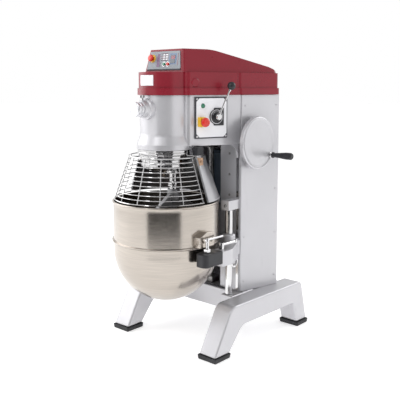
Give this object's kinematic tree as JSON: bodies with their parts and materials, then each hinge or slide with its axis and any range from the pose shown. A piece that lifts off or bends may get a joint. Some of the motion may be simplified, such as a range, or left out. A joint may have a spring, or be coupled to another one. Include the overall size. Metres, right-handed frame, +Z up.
{
  "type": "commercial stand mixer",
  "caption": "Floor-standing planetary mixer: column on a four-legged base, geared head with beater and wire guard, and a steel bowl on a fork raised by a handwheel.",
  "frame": {"origin": "centre of the footprint box on the floor", "axes": "+Z up, front of the mixer towards -Y, handwheel and side controls towards +X"},
  "size_m": [0.8006, 0.933, 1.386],
  "materials": {
    "silver_paint": "silver-grey metallic enamel, satin, on cast iron and sheet steel",
    "red_shell": "dark red enamel, semi-gloss",
    "bowl_steel": "spun stainless steel, fine horizontal brushing",
    "bright_steel": "polished or plated steel",
    "dull_steel": "machined steel with a film of oil",
    "cast_aluminium": "cast aluminium, ground smooth",
    "rubber": "black moulded rubber, matt",
    "black_plastic": "black moulded plastic",
    "grey_panel": "grey panel film, satin",
    "white_plate": "pale powder-coated sheet",
    "button_red": "red moulded plastic, glossy",
    "signal_yellow": "yellow moulded plastic",
    "lamp_green": "green translucent lens",
    "motor_paint": "dark machinery enamel, satin"
  },
  "bodies": {
    "root": {"foot_front_left": "rubber", "foot_front_right": "rubber", "foot_rear_left": "rubber", "foot_rear_right": "rubber", "base_leg_left": "silver_paint", "base_leg_right": "silver_paint", "base_deck": "silver_paint", "column_frame": "silver_paint", "side_cover_left": "silver_paint", "side_cover_right": "silver_paint", "rear_cover": "silver_paint", "cable_gland": "black_plastic", "guide_post_left": "bright_steel", "guide_post_right": "bright_steel", "screw_foot_bearing": "dull_steel", "head_housing": "silver_paint", "head_trim_ring": "bright_steel", "main_bearing": "dull_steel", "attachment_hub": "silver_paint", "lower_cover": "red_shell", "top_hood": "red_shell", "timer_panel": "grey_panel", "control_gasket": "rubber", "control_plate": "white_plate", "pilot_lamp": "lamp_green", "stop_button_base": "signal_yellow", "gear_dial": "black_plastic", "guard_ring": "bright_steel", "guard_sheet": "silver_paint", "guard_switch": "black_plastic", "ring_gear": "dull_steel", "motor": "motor_paint", "drive_belt": "rubber"},
    "bowl_carriage": {"bowl_yoke": "silver_paint", "yoke_cap_left": "black_plastic", "yoke_cap_right": "black_plastic", "mixing_bowl": "bowl_steel"},
    "clamp_left": {"clamp_lever_left": "bright_steel"},
    "clamp_right": {"clamp_lever_right": "bright_steel"},
    "lift_wheel": {"handwheel": "silver_paint", "lift_shaft": "dull_steel"},
    "wheel_grip": {"handwheel_grip": "black_plastic"},
    "lift_screw": {"lead_screw": "dull_steel"},
    "planetary": {"planet_carrier": "bright_steel", "main_gear": "dull_steel"},
    "agitator": {"agitator_shaft": "bright_steel", "flat_beater": "cast_aluminium"},
    "input_drive": {"input_shaft": "dull_steel", "driven_pulley": "dull_steel"},
    "motor_rotor": {"motor_shaft": "dull_steel", "motor_pulley": "dull_steel"},
    "guard": {"guard_cage": "bright_steel"},
    "speed_lever": {"gear_lever": "bright_steel", "gear_lever_knob": "black_plastic"},
    "side_stop": {"stop_button": "button_red"},
    "hood_stop": {"hood_stop_button": "button_red"},
    "start": {"start_key": "lamp_green"},
    "pause": {"pause_key": "button_red"},
    "hub_cap": {"hub_plug": "bright_steel"},
    "hub_screw": {"hub_thumb_screw": "bright_steel"}
  },
  "joints": [
    {"name": "handwheel_spin", "type": "hinge", "parent": "root", "child": "lift_wheel", "pos_m": [0.241, 0.113, 0.955], "axis": [1, 0, 0], "range_deg": [0, 2700]},
    {"name": "bowl_lift", "type": "slide", "parent": "root", "child": "bowl_carriage", "axis": [0, 0, 1], "range_m": [-0.15, 0]},
    {"name": "screw_spin", "type": "hinge", "parent": "root", "child": "lift_screw", "pos_m": [-0.04, 0.113, 0.6], "axis": [0, 0, 1], "range_deg": [0, 2700]},
    {"name": "grip_spin", "type": "hinge", "parent": "lift_wheel", "child": "wheel_grip", "pos_m": [0.2555, 0.198, 0.893], "axis": [1, 0, 0], "continuous": true},
    {"name": "clamp_left_turn", "type": "hinge", "parent": "bowl_carriage", "child": "clamp_left", "pos_m": [-0.333, -0.239, 0.53], "axis": [0, 0, 1], "range_deg": [0, 80]},
    {"name": "clamp_right_turn", "type": "hinge", "parent": "bowl_carriage", "child": "clamp_right", "pos_m": [0.253, -0.259, 0.53], "axis": [0, 0, 1], "range_deg": [-80, 0]},
    {"name": "planetary_spin", "type": "hinge", "parent": "root", "child": "planetary", "pos_m": [-0.04, -0.214, 1], "axis": [0, 0, 1], "continuous": true},
    {"name": "agitator_spin", "type": "hinge", "parent": "planetary", "child": "agitator", "pos_m": [0.03133, -0.23718, 0.85], "axis": [0, 0, 1], "continuous": true},
    {"name": "input_spin", "type": "hinge", "parent": "root", "child": "input_drive", "pos_m": [-0.04, -0.094, 1.1], "axis": [0, 0, 1], "continuous": true},
    {"name": "motor_spin", "type": "hinge", "parent": "root", "child": "motor_rotor", "pos_m": [-0.04, 0.199, 1.05], "axis": [0, 0, 1], "continuous": true},
    {"name": "guard_swing", "type": "hinge", "parent": "root", "child": "guard", "pos_m": [-0.04, -0.214, 0.9], "axis": [0, 0, 1], "range_deg": [0, 110]},
    {"name": "lever_turn", "type": "hinge", "parent": "root", "child": "speed_lever", "pos_m": [0.1598, -0.0849, 1.082], "axis": [0.9524, -0.3049, 0], "range_deg": [-30, 30]},
    {"name": "side_stop_press", "type": "slide", "parent": "root", "child": "side_stop", "axis": [-0.9524, 0.3049, 0], "range_m": [0, 0.004], "stiffness_N_per_m": 400},
    {"name": "hood_stop_press", "type": "slide", "parent": "root", "child": "hood_stop", "axis": [0, 0.9844, -0.1757], "range_m": [0, 0.003], "stiffness_N_per_m": 400},
    {"name": "start_press", "type": "slide", "parent": "root", "child": "start", "axis": [0, 0.9844, -0.1757], "range_m": [0, 0.002], "stiffness_N_per_m": 400},
    {"name": "pause_press", "type": "slide", "parent": "root", "child": "pause", "axis": [0, 0.9844, -0.1757], "range_m": [0, 0.002], "stiffness_N_per_m": 400},
    {"name": "hub_cap_pull", "type": "slide", "parent": "root", "child": "hub_cap", "axis": [0, -1, 0], "range_m": [0, 0.036]},
    {"name": "hub_screw_turn", "type": "hinge", "parent": "root", "child": "hub_screw", "pos_m": [-0.04, -0.358, 1.17], "axis": [0, 0, 1], "range_deg": [0, 720]}
  ],
  "couplings": [
    {"joint": "bowl_lift", "follows": "handwheel_spin", "m_per_rad": -0.003183},
    {"joint": "screw_spin", "follows": "handwheel_spin", "ratio": 1},
    {"joint": "agitator_spin", "follows": "planetary_spin", "ratio": -4},
    {"joint": "input_spin", "follows": "planetary_spin", "ratio": -3},
    {"joint": "motor_spin", "follows": "planetary_spin", "ratio": -5.921}
  ]
}
